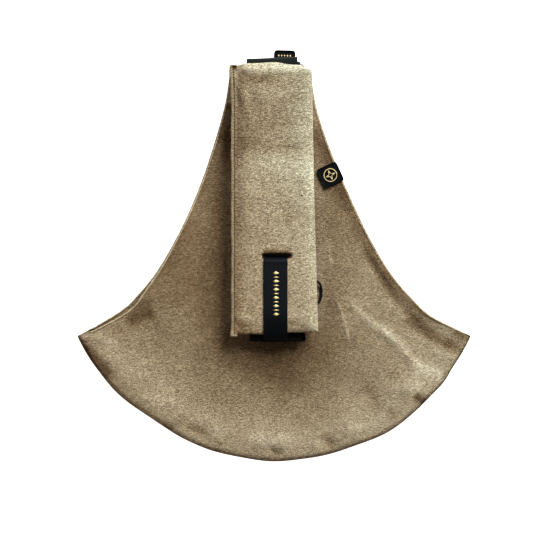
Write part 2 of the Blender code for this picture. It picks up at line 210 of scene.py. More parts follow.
def cloth_slab(name, x, y, top, thickness, rim_steps=3):
    """A closed sheet of cloth: a grid of points with a top height, a thickness and a round rim."""
    rows, columns = x.shape
    thickness = np.broadcast_to(thickness, x.shape)
    upper = np.stack([x, y, top], -1).reshape(-1, 3)
    lower = np.stack([x, y, top - thickness], -1).reshape(-1, 3)
    index = np.arange(rows * columns).reshape(rows, columns)
    loop = np.concatenate([index[0, :-1], index[:-1, -1], index[-1, :0:-1], index[:0:-1, 0]])
    count = len(loop)
    flat = upper[loop, :2]
    area = np.sum(flat[:, 0] * np.roll(flat[:, 1], -1) - flat[:, 1] * np.roll(flat[:, 0], -1))
    along = unit_rows(np.roll(flat, -1, 0) - np.roll(flat, 1, 0))
    out = np.stack([along[:, 1], -along[:, 0]], -1) * math.copysign(1.0, area)
    half = thickness.reshape(-1)[loop] / 2
    middle = upper[loop, 2] - half
    rim = []
    for step in range(1, rim_steps + 1):
        angle = math.pi / 2 - math.pi * step / (rim_steps + 1)
        place = flat + out * (half[:, None] * math.cos(angle))
        rim.append(np.column_stack([place, middle + half * math.sin(angle)]))
    points = np.concatenate([upper, lower, *rim])
    uv = np.concatenate([upper[:, :2], lower[:, :2], *[ring[:, :2] for ring in rim]])

    flip = area < 0
    faces = grid_faces(rows, columns, 0, not flip)
    faces += grid_faces(rows, columns, rows * columns, flip)
    first = 2 * rows * columns
    rings = [loop] + [first + count * k + np.arange(count) for k in range(rim_steps)]
    rings.append(loop + rows * columns)
    for above, below in zip(rings, rings[1:]):
        strip = np.stack([above, below, np.roll(below, -1), np.roll(above, -1)], -1)
        faces += (strip[:, ::-1] if flip else strip).tolist()
    return add_mesh(name, points, faces, uv)


def upward_normals(path):
    """Upward normals along a path in a vertical plane along Y."""
    tangent = unit_rows(np.gradient(path, axis=0))
    return np.stack([tangent[:, 0], -tangent[:, 2], tangent[:, 1]], -1)


def resample(path, step):
    """Points at even distances on a smooth curve through a few chosen ones, and their distances."""
    path = np.asarray(path, float)
    padded = np.vstack([2 * path[0] - path[1], path, 2 * path[-1] - path[-2]])
    fine = []
    for i in range(1, len(padded) - 2):
        a, b, c, d = padded[i - 1:i + 3]
        for t in np.linspace(0, 1, 24, endpoint=False):
            fine.append(0.5 * (2 * b + (c - a) * t + (2 * a - 5 * b + 4 * c - d) * t**2
                               + (3 * b - a - 3 * c + d) * t**3))
    fine = np.array(fine + [path[-1]])
    run = np.concatenate([[0.0], np.cumsum(np.linalg.norm(np.diff(fine, axis=0), axis=1))])
    marks = np.linspace(0.0, run[-1], max(3, int(run[-1] / step)))
    return np.stack([np.interp(marks, run, fine[:, k]) for k in range(3)], -1), marks


def arc(x, y, z, radius, degrees, lean=0.0):
    """Points round a centre in a vertical plane along Y, at angles from the +Y side upwards."""
    turns = [(x + lean * (turn - 180), math.radians(turn)) for turn in degrees]
    return [(across, y + radius * math.cos(angle), z + radius * math.sin(angle)) for across, angle in turns]


def ring_faces(rows, count, base=0, flip=False):
    """Faces between rings of points, and over the first ring and the last."""
    faces = []
    for row in range(rows - 1):
        for j in range(count):
            low, beside = base + row * count + j, base + row * count + (j + 1) % count
            quad = (low, low + count, beside + count, beside)
            faces.append(quad[:1] + quad[:0:-1] if flip else quad)
    first, last = [tuple(range(start, start + count)) for start in (base, base + (rows - 1) * count)]
    return faces + ([first[::-1], last] if flip else [first, last[::-1]])


def tape(name, path, width, thickness, step=TAPE_STEP, across=15, start_u=0.0, slant=0.0):
    """Webbing or ribbon along a path of (x, y, z) points: closed, with round selvedges."""
    line, marks = resample(path, step)
    half = width / 2 - thickness / 2
    bulge = thickness / 2
    section = [(offset, 1.0) for offset in np.linspace(-half, half, across)]
    section += [(half + 0.7 * bulge, 0.7), (half + bulge, 0.0), (half + 0.7 * bulge, -0.7)]
    section = np.array(section + [(-offset, -side) for offset, side in section])
    points, uv = [], []
    for place, normal, mark in zip(line, upward_normals(line), marks):
        ring = place + normal * (section[:, 1:] * bulge)
        ring[:, 0] = place[0] + section[:, 0]
        ring[:, 1] += slant * section[:, 0]
        points.append(ring)
        uv.append(np.stack([section[:, 0], np.full(len(section), start_u + mark)], -1))
    return add_mesh(name, np.concatenate(points), ring_faces(len(line), len(section)), np.concatenate(uv))


def tubes(name, runs, radius, sides=6):
    """Several thread-like tubes in one mesh, each along a run of points, with round-ish ends."""
    points, faces = [], []
    turns = [2 * math.pi * k / sides for k in range(sides)]
    for run in runs:
        run = np.asarray(run, float)
        tangent = unit_rows(np.gradient(run, axis=0))
        side = unit_rows(np.cross(tangent, (0.0, 0.0, 1.0)))
        up = np.cross(side, tangent)
        faces += ring_faces(len(run), sides, len(points), flip=True)
        for i in range(len(run)):
            size = radius * (0.45 if i in (0, len(run) - 1) else 1.0)
            points += [run[i] + side[i] * size * math.cos(a) + up[i] * size * math.sin(a) for a in turns]
    return add_mesh(name, points, faces)


# ---- material helpers

def new_material(name, roughness, sheen=0.0, metallic=0.0, specular=0.3):
    material = bpy.data.materials.new(name)
    material.use_nodes = True
    shader = material.node_tree.nodes["Principled BSDF"]
    for socket, value in (("Roughness", roughness), ("Sheen Weight", sheen), ("Sheen Roughness", 0.5),
                          ("Metallic", metallic), ("Specular IOR Level", specular)):
        shader.inputs[socket].default_value = value
    return material, material.node_tree, shader


def add_node(tree, kind, settings=None, **inputs):
    """A shader node; its inputs are given by name, or as i0, i1 and so on by number."""
    node = tree.nodes.new("ShaderNode" + kind)
    for key, value in (settings or {}).items():
        setattr(node, key, value)
    for key, value in inputs.items():
        socket = node.inputs[int(key[1:]) if key[0] == "i" and key[1:].isdigit() else key]
        if isinstance(value, bpy.types.NodeSocket):
            tree.links.new(value, socket)
        else:
            socket.default_value = value
    return node


def in_mm(tree, from_uv=True):
    """Surface position in millimetres."""
    if from_uv:
        source = add_node(tree, "UVMap", {"uv_map": "cloth"}).outputs["UV"]
    else:
        source = add_node(tree, "TexCoord").outputs["Object"]
    scaled = add_node(tree, "VectorMath", {"operation": "MULTIPLY"},
                      i0=source, i1=(1000.0, 1000.0, 1000.0))
    return scaled.outputs[0]


def noise(tree, position, scale, detail=2.0, roughness=0.55, shift=(0.0, 0.0, 0.0)):
    """Noise whose grain is 1/scale millimetres along each axis."""
    mapped = add_node(tree, "Mapping", None, Vector=position, Scale=scale, Location=shift)
    texture = add_node(tree, "TexNoise", None, Vector=mapped.outputs[0], Scale=1.0,
                       Detail=detail, Roughness=roughness)
    return texture.outputs[0]


def calc(tree, operation, a, b=0.0):
    return add_node(tree, "Math", {"operation": operation}, i0=a, i1=b).outputs[0]


def tone_of(tree):
    return add_node(tree, "Attribute", {"attribute_name": "tone"}).outputs["Fac"]


def sine_wave(tree, position, axis, wavelength):
    split = add_node(tree, "SeparateXYZ", None, Vector=position)
    angle = calc(tree, "MULTIPLY", split.outputs[axis], 2 * math.pi / wavelength)
    return calc(tree, "SINE", angle)


def weighted(tree, parts, total=0.0):
    """Sum of sockets times their weights, on top of a number."""
    for value, weight in parts:
        total = calc(tree, "ADD", total, calc(tree, "MULTIPLY", value, weight))
    return total


def plain_weave(tree, position, pitch):
    """Over-and-under height of a plain weave, from -0.5 to 0.5."""
    waves = [sine_wave(tree, position, axis, 2 * pitch) for axis in ("X", "Y")]
    return calc(tree, "MULTIPLY", calc(tree, "MULTIPLY", *waves), 0.5)


def yarn_streaks(tree, position, pitch, streak, upright=False):
    """A random value for every yarn, smooth along it and unrelated to the yarns beside it."""
    split = add_node(tree, "SeparateXYZ", None, Vector=position)
    along, across = ("Y", "X") if upright else ("X", "Y")
    waver = noise(tree, position, (0.02, 0.02, 0.02), 1.0)
    place = calc(tree, "ADD", split.outputs[across], calc(tree, "MULTIPLY", waver, 9.0))
    yarn = calc(tree, "FLOOR", calc(tree, "DIVIDE", place, pitch))
    point = add_node(tree, "CombineXYZ", None,
                     X=calc(tree, "DIVIDE", split.outputs[along], streak),
                     Y=calc(tree, "MULTIPLY", yarn, 7.31), Z=5.0 if upright else 0.0)
    texture = add_node(tree, "TexNoise", None, Vector=point.outputs[0], Scale=1.0,
                       Detail=2.0, Roughness=0.7)
    return texture.outputs[0]


def colour_ramp(tree, value, stops):
    ramp = add_node(tree, "ValToRGB", None, Fac=value)
    elements = ramp.color_ramp.elements
    while len(elements) < len(stops):
        elements.new(0.5)
    for element, (place, colour) in zip(elements, stops):
        element.position = place
        element.color = (*colour, 1.0)
    return ramp.outputs["Color"]


def finish_material(tree, shader, colour, height, distance):
    """Connects a colour and a relief, whose depth is in metres."""
    bump = add_node(tree, "Bump", None, Height=height, Distance=distance, Strength=1.0)
    tree.links.new(bump.outputs[0], shader.inputs["Normal"])
    tree.links.new(colour, shader.inputs["Base Color"])


# Linen colours from the darkest, reached only where the tone paints deep shade at the seam rim and the slit,
# to the palest yarns.
LINEN_STOPS = (
    (0.40, (0.026, 0.014, 0.006)), (0.50, (0.088, 0.057, 0.030)), (0.59, (0.230, 0.171, 0.106)),
    (0.665, (0.374, 0.319, 0.223)), (0.81, (0.660, 0.608, 0.474)),
)


def linen(name, from_uv=True, lightness=1.0, contrast=1.0, warm=(0.0, 0.0, 0.0)):
    """Heathered linen: streaky warp and weft yarns, light and dark flecks, soft mottling.

    The mesh attribute "tone" makes places lighter or darker: painted highlight on lit hems, crests and edges,
    and painted shade in hollows, creases and cast shadows. "warm" is how much redder the yarns get per
    millimetre to the right, per millimetre up, and all over."""
    material, tree, shader = new_material(name, 0.92, sheen=0.03, specular=0.10)
    position = in_mm(tree, from_uv)
    weft = yarn_streaks(tree, position, 0.50, 3.0)
    warp = yarn_streaks(tree, position, 0.60, 1.8, upright=True)
    flecks = noise(tree, position, (1.70, 2.60, 0.8), 1.0, 0.6, (5.0, 31.0, 0.0))
    slubs = noise(tree, position, (0.06, 1.10, 0.4), 1.0, 0.5, (3.0, 17.0, 0.0))
    mottle = noise(tree, position, (0.030, 0.040, 0.04), 3.0, 0.5)
    weave = plain_weave(tree, position, 0.9)
    stops = [(place, tuple(channel * lightness for channel in colour)) for place, colour in LINEN_STOPS]
    mean_grain = 1.565
    grain = weighted(tree, [(weft, 1.20), (warp, 0.40), (flecks, 1.35), (slubs, 0.20), (weave, 0.12)],
                     -mean_grain)
    shade = weighted(tree, [(mottle, 0.07), (tone_of(tree), 0.225), (grain, 0.05 * contrast)], 0.5925)
    gain = calc(tree, "MAXIMUM", weighted(tree, [(grain, contrast)], 1.0), 0.2)
    yarns = add_node(tree, "VectorMath", {"operation": "SCALE"},
                     i0=colour_ramp(tree, shade, stops), Scale=gain)
    split = add_node(tree, "SeparateXYZ", None, Vector=position)
    warmth = weighted(tree, [(split.outputs["X"], warm[0]), (split.outputs["Y"], warm[1])], warm[2])
    tint = add_node(tree, "CombineXYZ", None, X=weighted(tree, [(warmth, 0.09)], 1.0), Y=1.0,
                    Z=weighted(tree, [(warmth, -0.07)], 1.0))
    dyed = add_node(tree, "VectorMath", {"operation": "MULTIPLY"}, i0=yarns.outputs[0], i1=tint.outputs[0])
    relief = weighted(tree, [(weft, 0.6), (warp, 0.45), (flecks, 0.8), (slubs, 0.2), (weave, 0.25)])
    finish_material(tree, shader, dyed.outputs[0], relief, 1.1 * MM)
    return material


def ribbed_material(name, dark, light, ribs, grain, depth, roughness, **surface):
    """Webbing or ribbon. "ribs" are sine waves, each an axis, a wavelength and a weight."""
    material, tree, shader = new_material(name, roughness, **surface)
    position = in_mm(tree)
    waves = [(sine_wave(tree, position, axis, pitch), weight) for axis, pitch, weight in ribs]
    value = weighted(tree, waves + [(noise(tree, position, grain), 1.0)])
    shade = calc(tree, "ADD", value, tone_of(tree))
    finish_material(tree, shader, colour_ramp(tree, shade, [(0.30, dark), (0.75, light)]), value, depth)
    return material


def plain_material(name, dark, light, grain, depth, roughness, spread=0.2, from_uv=False, **surface):
    """Colour and relief from one noise, given by its scale, its detail and how rough it is."""
    material, tree, shader = new_material(name, roughness, **surface)
    value = noise(tree, in_mm(tree, from_uv), *grain)
    ramp = colour_ramp(tree, value, [(0.5 - spread, dark), (0.5 + spread, light)])
    finish_material(tree, shader, ramp, value, depth)
    return material


def thread_material(name, dark, light):
    return plain_material(name, dark, light, ((2.5, 2.5, 2.5), 1.0), 0.15 * MM, 0.75, spread=0.15,
                          specular=0.15)


def label_weave(name, dark, light, from_uv=True):
    return plain_material(name, dark, light, ((2.0, 5.0, 2.0), 2.0), 0.15 * MM, 0.60,
                          from_uv=from_uv, specular=0.09)


# ---- shape of the pouch

def neck_shift(y):
    """The neck lies a little to the left of the seat's middle."""
    return -1.4 * MM * ease(-0.070, -0.035, y) - 2.6 * MM * ease(0.04, 0.15, y)


def cad_side_edge():
    """Right-hand open edge of the CAD back panel, as heights and half widths."""
    node = frame["nodes"]["back_panel"]
    edge = {}
    for vertex in node.data.vertices:
        x, y, _ = node.matrix_world @ vertex.co
        if x > 0 and y > TIP_Y - 1e-5:
            edge[round(y, 5)] = max(x, edge.get(round(y, 5), 0.0))
    heights = np.array(sorted(edge))
    return heights, np.array([edge[y] for y in heights])


EDGE_Y, EDGE_X = cad_side_edge()
EDGE_SLOPE = np.gradient(EDGE_X, EDGE_Y)


def half_width(y):
    """Half width of the pouch between its open edges, smooth between the CAD points."""
    y = np.asarray(y, float)
    i = np.clip(np.searchsorted(EDGE_Y, y) - 1, 0, len(EDGE_Y) - 2)
    span = EDGE_Y[i + 1] - EDGE_Y[i]
    t = (y - EDGE_Y[i]) / span
    inside = ((2 * t**3 - 3 * t**2 + 1) * EDGE_X[i] + (3 * t**2 - 2 * t**3) * EDGE_X[i + 1]
              + span * ((t**3 - 2 * t**2 + t) * EDGE_SLOPE[i] + (t**3 - t**2) * EDGE_SLOPE[i + 1]))
    return np.where(t > 1, EDGE_X[-1], inside)


def seam_radius(angle):
    """Distance of the seat seam from the arc's centre; 0 is straight down, positive to the right."""
    swell = -0.6
    for middle, spread, rise in ((-0.59, 0.13, -3.6), (-0.38, 0.22, -1.6), (0.12, 0.20, -0.5),
                                 (0.58, 0.19, 2.2), (0.90, 0.07, 2.3)):
        swell = swell + rise * np.exp(-((angle - middle) / spread)**2)
    ripple = 0.45 * np.sin(11 * angle + 0.7) + 0.3 * np.sin(23 * angle + 2.0)
    return ARC_RADIUS + (swell + ripple) * MM * (1 - ease(0.9, 1.1, np.abs(angle)))


def seam_line(angle, inset):
    """Points at a distance inside the seat seam."""
    radius = seam_radius(angle) - inset
    return radius * np.sin(angle), ARC_CENTRE_Y - radius * np.cos(angle)


def seam_place(x, y):
    """Angle round the arc's centre, and distance inside the seat seam."""
    angle = np.arctan2(x, ARC_CENTRE_Y - y)
    return angle, np.maximum(seam_radius(angle) - np.hypot(x, y - ARC_CENTRE_Y), 0.0)


def side_gap(x, y):
    """Distance inside the nearer open edge."""
    return half_width(np.clip(y, TIP_Y, EDGE_Y[-1])) - np.abs(x - neck_shift(y))


def pouch_grid(top_y, left_inset, right_inset, seam_inset, rows, columns):
    """Points of a panel: a Coons patch between the neck, the two open edges and the seat seam."""
    even = 0.65                 # the rest of the spacing crowds towards the open edges
    across = (np.sin(np.linspace(-math.pi / 2, math.pi / 2, columns)) * (1 - even)
              + np.linspace(-1, 1, columns) * even)
    down = np.linspace(0, 1, rows)
    y_fine = top_y + (TIP_Y - top_y) * np.linspace(0, 1, 400)
    run = np.concatenate([[0], np.cumsum(np.hypot(np.diff(half_width(y_fine)), np.diff(y_fine)))])
    side_y = np.interp(down * run[-1], run, y_fine)
    width = half_width(side_y)
    slack_right = 5.2 * MM * bell(side_y, -61, 15)
    slack_left = 1.8 * MM * bell(side_y, -50, 9)
    right = np.stack([width - slack_right - right_inset(side_y) + neck_shift(side_y), side_y], -1)
    left = np.stack([-width + slack_left + left_inset(side_y) + neck_shift(side_y), side_y], -1)
    share = (across + 1) / 2
    top = left[0] + (right[0] - left[0]) * share[:, None]
    bottom = np.stack(seam_line(across * TIP_ANGLE, seam_inset), -1)
    bottom += (left[-1] - bottom[0]) * (1 - share[:, None])**6
    bottom += (right[-1] - bottom[-1]) * share[:, None]**6
    v = down[:, None, None]
    a = share[None, :, None]
    corners = ((1 - a) * (1 - v) * top[0] + a * (1 - v) * top[-1]
               + (1 - a) * v * bottom[0] + a * v * bottom[-1])
    edges = (1 - v) * top[None] + v * bottom[None] + (1 - a) * left[:, None] + a * right[:, None]
    return edges - corners


def ridge(x, y, points, width, height):
    """Bell-shaped section along a line, with tapering ends; line and width in millimetres."""
    points = np.asarray(points, float) * MM
    lengths = np.hypot(*np.diff(points, axis=0).T)
    gap, share = np.full(x.shape, np.inf), np.zeros(x.shape)
    before = 0.0
    for start, end, length in zip(points, points[1:], lengths):
        unit = (end - start) / length
        along = np.clip((x - start[0]) * unit[0] + (y - start[1]) * unit[1], 0.0, length)
        distance = np.hypot(x - start[0] - unit[0] * along, y - start[1] - unit[1] * along)
        share = np.where(distance < gap, (before + along) / lengths.sum(), share)
        gap = np.minimum(gap, distance)
        before += length
    ends = ease(0.0, 0.25, np.minimum(share, 1 - share))
    return height * ends * bell(gap, 0, width)


# Folds of the front panel: points (x, y), half width, height (all in millimetres) and tone, a painted
# highlight along raised folds and painted shade along sunken ones.
FOLDS = (
    (((70, -38), (84, -56), (98, -68), (112, -78), (124, -88)), 5.0, 1.0, 0.28),
    (((98, -66), (110, -76), (121, -86), (131, -97), (143, -110), (152, -116)), 4.6, 1.7, 0.20),
    (((134, -104), (146, -112), (158, -116), (170, -114)), 8.0, 1.0, 0.36),
    (((90, -124), (99, -143), (107, -160)), 6.0, -0.7, -0.18),
    (((112, -112), (122, -128), (130, -146)), 5.0, -0.5, -0.12),
    (((84, 14), (93, -2), (104, -18), (113, -34), (123, -46), (134, -57), (150, -72)), 5.0, -1.6, -0.26),
    (((128, -56), (144, -70), (158, -81), (174, -89), (192, -96)), 8.0, -1.8, -0.42),
    (((166, -86), (178, -91), (190, -96)), 7.0, -0.4, -0.24),
    (((176, -74), (186, -78), (194, -84)), 6.0, 0.0, -0.40),
    (((59, -39), (66, -54), (71, -72), (76, -90)), 1.5, 0.8, 0.35),
    (((50, 28), (55, -2), (57, -22)), 3.0, 0.6, 0.15),
    (((-188, -78), (-174, -80), (-158, -92)), 7.0, 1.0, 0.10),
    (((-152, -68), (-136, -60), (-118, -54)), 12.0, -1.6, -0.42),
    (((-172, -80), (-158, -77), (-144, -70)), 7.0, -0.5, -0.14),
    (((-198, -79), (-190, -79), (-180, -78)), 3.0, 0.0, 0.45),
    (((-197, -84), (-188, -92), (-178, -102), (-168, -114), (-158, -126)), 6.0, -1.6, -0.55),
    (((-172, -92), (-158, -114), (-142, -132)), 9.0, 1.0, 0.02),
    (((-144, -130), (-128, -142), (-112, -156)), 8.0, 1.2, 0.05),
    (((-112, -166), (-100, -174)), 4.0, -1.4, -0.20),
    (((-92, -168), (-80, -172), (-66, -178)), 5.5, -1.5, -0.32),
    (((-66, -172), (-48, -178)), 8.0, 1.4, 0.14),
    (((-36, -180), (-10, -184), (26, -182)), 9.0, 1.2, 0.26),
    (((-6, -192), (8, -198)), 4.0, -1.5, -0.25),
    (((44, -176), (62, -194)), 5.0, -1.8, -0.30),
    (((70, -168), (88, -176)), 9.0, 1.5, 0.14),
    (((112, -150), (122, -164)), 6.0, -1.4, -0.25),
    (((136, -138), (146, -144), (156, -148)), 5.0, -2.0, -0.60),
    (((112, -128), (130, -130), (150, -126)), 8.0, 1.0, 0.16),
    (((-90, 40), (-100, -20), (-120, -90)), 16.0, 1.4, 0.0),
    (((-58, 90), (-66, 20), (-78, -60)), 12.0, -1.0, 0.0),
    (((-52, 128), (-64, 120)), 2.5, 0.7, 0.15),
    (((-50, 112), (-68, 104)), 2.5, 0.7, 0.15),
)


def front_height(x, y):
    """Top of the front panel: flat under the strap, puffed towards the seat seam, with folds."""
    angle, seam = seam_place(x, y)
    in_seat = ease(-0.02, -0.12, y)
    tips = 1 - 0.45 * ease(0.75, 1.1, np.abs(angle))
    puff = 5.6 * bell(seam, 13, 34) * tips * in_seat
    belly = 2.6 * patch(np.abs(x), y, (90, -50), (52, 85))
    folds = sum(ridge(x, y, line, width, rise) for line, width, rise, _ in FOLDS)
    pucker = np.sin(19 * angle + 0.4) + 0.7 * np.sin(31 * angle + 2.1) + 0.6 * np.sin(47 * angle + 4.4)
    folds = folds + 0.5 * pucker * bell(seam, 14, 14) * in_seat
    drift = 0.6 * (np.sin(x / 0.021 + 1.3) * np.sin(y / 0.027 + 0.4)
                   + 0.6 * np.sin(x / 0.013 + y / 0.017) + 0.3 * np.sin(y / 0.006 + x / 0.030))
    under_strap = (1 - ease(0.046, 0.066, np.abs(x))) * ease(-0.135, -0.088, y)
    height = FRONT_TOP + (puff + belly + folds + drift) * MM * (1 - under_strap)
    seam_top = BACK_HIGH.z + 0.1 * MM + CLOTH
    rolled = seam_top + (height - seam_top) * quarter_round(seam / (5.5 * MM))
    side = side_gap(x, y)
    hem = (0.5 * bell(side, 7, 3) - 0.8 * bell(side, 0, 2.2)) * MM
    return np.maximum(rolled + np.where(y > TIP_Y, hem, 0.0), seam_top)


# Soft patches of painted shade on the front panel, round the strap and its end: place (x, y) and size (x, y)
# in millimetres, and tone.
PAINTED_SHADE_PATCHES = (
    ((-46, 116), (8, 24), -0.24), ((64, 75), (14, 50), -0.12), ((8, -106), (42, 34), -0.38),
    ((-100, -10), (45, 60), -0.24), ((-68, -40), (20, 80), -0.13),
)


def front_tone(x, y):
    """Painted light and shade: lighter on raised cloth and folds, darker in hollows, along the seat seam, as
    the strap's shadow round it and below its end, and near the open edges.
    """
    seam = seam_place(x, y)[1]
    # Painted shade along the seat seam's rolled rim, and a painted highlight on the puffed ring inside it.
    tone = 0.05 - 0.64 * bell(seam, 0, 2.4) + 0.14 * bell(seam, 16, 24) * ease(-0.05, -0.10, y)
    from_strap = np.abs(x - 1.0 * MM)
    beside = np.maximum(from_strap - 43 * MM, 0.0)
    below = np.maximum(-0.080 - y, 0.0)
    # Painted shadow of the strap, over a band beside it, under it and below its end.
    tone -= 0.24 * np.exp(-np.hypot(beside / (34 * MM), below / (50 * MM))**1.5)
    left = x < 0
    # Painted light along the strap's edges, lifting the painted shadow there, more on the left.
    painted_light_strip = np.where(left, 0.42 - 0.22 * ease(0.070, 0.105, y), 0.10)
    tone += painted_light_strip * bell(from_strap, 45, 6) * (1 - ease(-0.055, -0.085, y))
    # On the left, a painted highlight above the neck cuff's lower edge and a line of painted shade just below
    # it.
    tone += left * (0.50 * ease(0.1520, 0.1545, y) - 0.40 * bell(y, 149, 3))
    tone += sum(amount * patch(x, y, place, size) for place, size, amount in PAINTED_SHADE_PATCHES)
    # Painted highlight along raised folds and painted shade along sunken ones.
    tone += sum(ridge(x, y, line, width * 0.8, amount) for line, width, _, amount in FOLDS)
    edge = np.where(left, -0.10, -0.42) * bell(side_gap(x, y), 0, np.where(left, 14, 12))
    return tone + edge * ease(-0.072, -0.050, y) * (1 - ease(0.11, 0.14, y))


def off_tips(y):
    """1 above the pouch's tips and 0 at them."""
    return 1 - ease(-0.074, -0.080, y)


def no_inset(y):
    return np.full(np.shape(y), CLOTH / 2)


def front_left_inset(y):
    return (2.0 - 1.1 * ease(-0.015, 0.030, y) + 6.6 * bell(y, -60, 24)) * MM * off_tips(y)


def front_right_inset(y):
    return 1.3 * MM * off_tips(y)


# ---- the pouch

def make_seam_binding(weave):
    """Flat tape inside the seat seam, between the two panels."""
    low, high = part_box("seat_seam_tape")
    turn = np.linspace(-1.0, 1.0, 240)[:, None] * (TIP_ANGLE - 0.03)
    x, y = seam_line(turn, np.array([2.2, 5.5, 9.0]) * MM)
    binding = cloth_slab("seat_seam_binding", x, y, np.full(x.shape, high.z), high.z - low.z)
    finish(binding, "root", weave, ["seat_seam_tape"])


def make_hem(name, run, radius, tone, material, body=None, sides=8):
    """Rolled edge along a run of points; without a body it is left unattached, with its transform baked in.
    """
    hem = tubes(name, [run], radius, sides)
    set_tone(hem, tone)
    finish(hem, body, material)
    if not body:
        bend_front(hem)


def make_pouch(fabric, hem_linen):
    back = pouch_grid(186 * MM, no_inset, no_inset, CLOTH / 2, 150, 120)
    x, y = back[..., 0], back[..., 1]
    panel = cloth_slab("back_panel_cloth", x, y, np.full(x.shape, BACK_HIGH.z), BACK_HIGH.z)
    # Painted shade: the back panel's left half, on the side away from the key light, is a little darker.
    set_tone(panel, [-0.12 * (v.co.x < 0) for v in panel.data.vertices])
    finish(panel, "root", fabric, ["back_panel"])

    shown = (y[:, 0] > TIP_Y + 4 * MM) & (y[:, 0] < 12 * MM)
    run = np.stack([x[shown, 0] - 0.2 * MM, y[shown, 0], np.full(shown.sum(), BACK_HIGH.z + 0.1 * MM)], -1)
    # Painted highlight: the back panel's left hem is made lighter along its outer edge.
    make_hem("left_back_hem", resample(run[::3], HEM_STEP)[0], 0.5 * MM, 0.5, hem_linen, "root")

    front = pouch_grid(173 * MM, front_left_inset, front_right_inset, CLOTH / 2 + 0.4 * MM, 230, 200)
    x, y = front[..., 0], front[..., 1]
    height = front_height(x, y)
    panel = cloth_slab("front_panel_cloth", x, y, height, CLOTH)
    set_tone(panel, front_tone(x, y))
    finish(panel, None, fabric, ["front_panel_upper", "front_panel_seat"])
    bend_front(panel)

    # The seat seam's piping is painted dark, as shade where the cloth rolls down to the floor.
    turn = np.linspace(-1.0, 1.0, 260) * (TIP_ANGLE - 0.006)
    run = np.stack([*seam_line(turn, 0.9 * MM), np.full(260, 1.9 * MM)], -1)
    make_hem("seat_seam_piping", run, 1.0 * MM, -0.45, hem_linen, sides=10)

    shown = y[:, 0] > TIP_Y + 1.5 * MM
    # Tones of the front hems: a painted highlight on the left one, a slightly darker tone on the right one.
    for name, column, inward, tone in (("left_front_hem", 0, 0.5, 0.16),
                                       ("right_front_hem", -1, -0.5, -0.10)):
        run = np.stack([x[shown, column] + inward * MM, y[shown, column],
                        height[shown, column] + 0.25 * MM], -1)
        make_hem(name, resample(run[::3], HEM_STEP)[0], 0.62 * MM, tone, hem_linen)


def bend_front(obj):
    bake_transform(obj)


# ---- the padded sleeve

SLEEVE_SEAM_X = -39.6 * MM
SEAM_Z = 22.4 * MM
FLANGE_Z = 24.0 * MM
SLIT_Y = -0.3 * MM
SLIT_LEFT, SLIT_RIGHT = -11.8 * MM, 17.0 * MM


def sleeve_right(y):
    share = (SLEEVE_HIGH.y - y) / (SLEEVE_HIGH.y - SLEEVE_LOW.y)
    return (37.2 + 6.4 * share) * MM


def stitch_x(y):
    """Place of the sleeve's row of stitches, which leans out to the left near the top."""
    return (-39.4 - 1.2 * ease(0.150, 0.190, y)) * MM


def sleeve_top_z(x, y):
    """Top of the sleeve before it is puffed: low at its seam and its two ends."""
    near_top = ease(0.150, 0.185, y)
    seam = quarter_sine((x - SLEEVE_SEAM_X) / ((11 + 9 * near_top) * MM))**(0.7 + 0.5 * near_top)
    fold = quarter_round((sleeve_right(y) - x) / (6 * MM))
    upper_end = 0.10 + 0.90 * quarter_sine((SLEEVE_HIGH.y - y) / (14 * MM))**0.8
    lower_end = 0.55 + 0.45 * quarter_round((y - SLEEVE_LOW.y) / (6 * MM))
    return SEAM_Z + (27.4 * MM - SEAM_Z) * seam * fold * upper_end * lower_end


def sleeve_rows():
    coarse = np.arange(SLEEVE_LOW.y, SLEEVE_HIGH.y + 1 * MM, 3 * MM)
    coarse[-1] = SLEEVE_HIGH.y
    coarse = coarse[np.abs(coarse - SLIT_Y) > 7 * MM]
    near_slit = SLIT_Y + np.linspace(-7, 7, 15) * MM
    return np.sort(np.concatenate([coarse, near_slit]))[::-1]


def make_sleeve_tube(rows, columns):
    """Open tube from the seam over the top, round the fold and back underneath to the seam."""
    t = np.linspace(0, 1, columns)
    spread = 0.55 * (0.5 - 0.5 * np.cos(math.pi * t)) + 0.45 * t
    points = np.empty((len(rows), 2 * columns - 1, 3))
    uv = np.empty((len(rows), 2 * columns - 1, 2))
    for i, y in enumerate(rows):
        right = sleeve_right(y)
        x = SLEEVE_SEAM_X + (right - SLEEVE_SEAM_X) * spread
        low_z = SLEEVE_LOW.z + (0.3 + bell(SLEEVE_HIGH.y - y, 0, 8)) * MM
        sag = quarter_round((right - x) / (5 * MM)) * quarter_sine((x - SLEEVE_SEAM_X) / (10 * MM))
        under = SEAM_Z - (SEAM_Z - low_z) * sag
        ring_x = np.concatenate([x, x[-2::-1]])
        ring_z = np.concatenate([sleeve_top_z(x, np.full(columns, y)), under[-2::-1]])
        points[i] = np.stack([ring_x, np.full(len(ring_x), y), ring_z], -1)
        step = np.hypot(np.diff(ring_x), np.diff(ring_z))
        uv[i, :, 0] = SLEEVE_SEAM_X + np.concatenate([[0.0], np.cumsum(step)])
        uv[i, :, 1] = y
    return points.reshape(-1, 3), uv.reshape(-1, 2)


